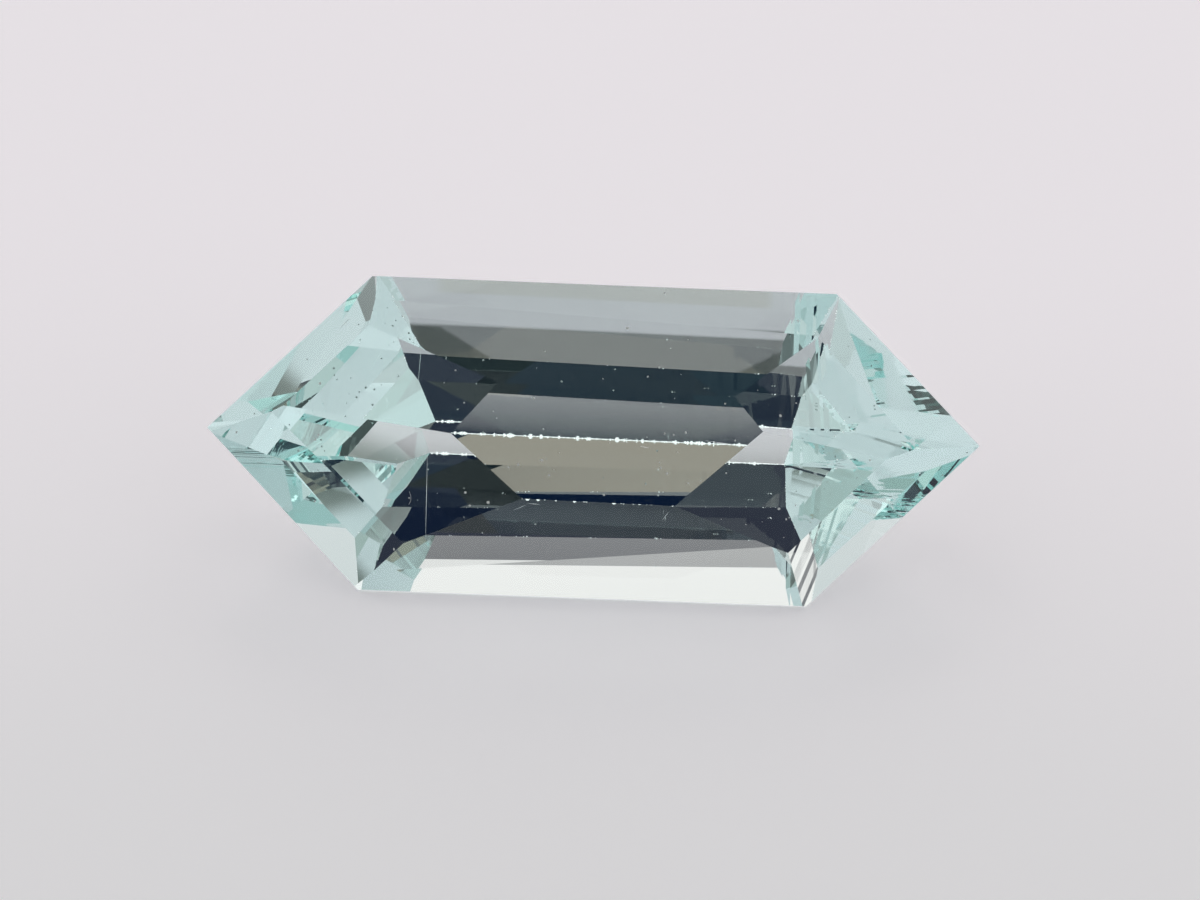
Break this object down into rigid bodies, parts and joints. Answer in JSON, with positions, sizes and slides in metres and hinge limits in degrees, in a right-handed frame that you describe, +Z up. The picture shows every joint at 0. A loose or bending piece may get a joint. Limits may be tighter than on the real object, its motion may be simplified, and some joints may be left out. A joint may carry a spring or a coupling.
{
  "type": "cut green beryl gemstone",
  "caption": "Clear pale blue-green beryl cut as a long pointed hexagon, with stepped facets above and a worn keel below, lying on one lower facet.",
  "frame": {"origin": "centre of the bounding box in X and Y, at the height of the surface that the stone lies on", "axes": "+X along the stone's length, towards its right tip as seen from the table side; the table faces -Y and up; +Z up"},
  "size_m": [0.01, 0.0032, 0.0031],
  "materials": {
    "beryl": "polished clear stone, pale blue-green, lightly dusty, with a worn keel"
  },
  "bodies": {
    "root": {"beryl_stone": "beryl"}
  },
  "joints": []
}
